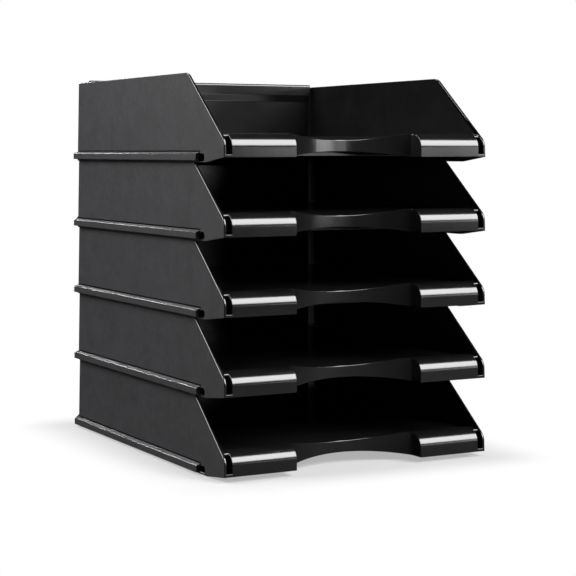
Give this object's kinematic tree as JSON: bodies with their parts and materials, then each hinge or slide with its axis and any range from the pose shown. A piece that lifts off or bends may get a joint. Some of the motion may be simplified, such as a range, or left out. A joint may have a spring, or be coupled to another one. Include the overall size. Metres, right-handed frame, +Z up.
{
  "type": "letter tray stack",
  "caption": "Stack of moulded letter trays for A4 papers, open at the front, with a finger notch, rounded front lips and sloping side walls whose rims slot into the tray above.",
  "frame": {"origin": "centre of the stack's footprint, at the level of the desk that the bottom tray stands on", "axes": "+Z up through the stack, +Y from the open front towards the back walls, +X to the right as seen from the front"},
  "size_m": [0.2634, 0.332, 0.3379],
  "materials": {
    "tray_plastic": "black polystyrene, satin with a fine grain on the outer sides"
  },
  "bodies": {
    "tray_1": {"tray_1": "tray_plastic"},
    "tray_2": {"tray_2": "tray_plastic"},
    "tray_3": {"tray_3": "tray_plastic"},
    "tray_4": {"tray_4": "tray_plastic"},
    "tray_5": {"tray_5": "tray_plastic"}
  },
  "joints": [
    {"name": "tray_2_lift", "type": "slide", "parent": "tray_1", "child": "tray_2", "axis": [0, 0, 1], "range_m": [0, 0.04]},
    {"name": "tray_3_lift", "type": "slide", "parent": "tray_2", "child": "tray_3", "axis": [0, 0, 1], "range_m": [0, 0.04]},
    {"name": "tray_4_lift", "type": "slide", "parent": "tray_3", "child": "tray_4", "axis": [0, 0, 1], "range_m": [0, 0.04]},
    {"name": "tray_5_lift", "type": "slide", "parent": "tray_4", "child": "tray_5", "axis": [0, 0, 1], "range_m": [0, 0.04]}
  ]
}
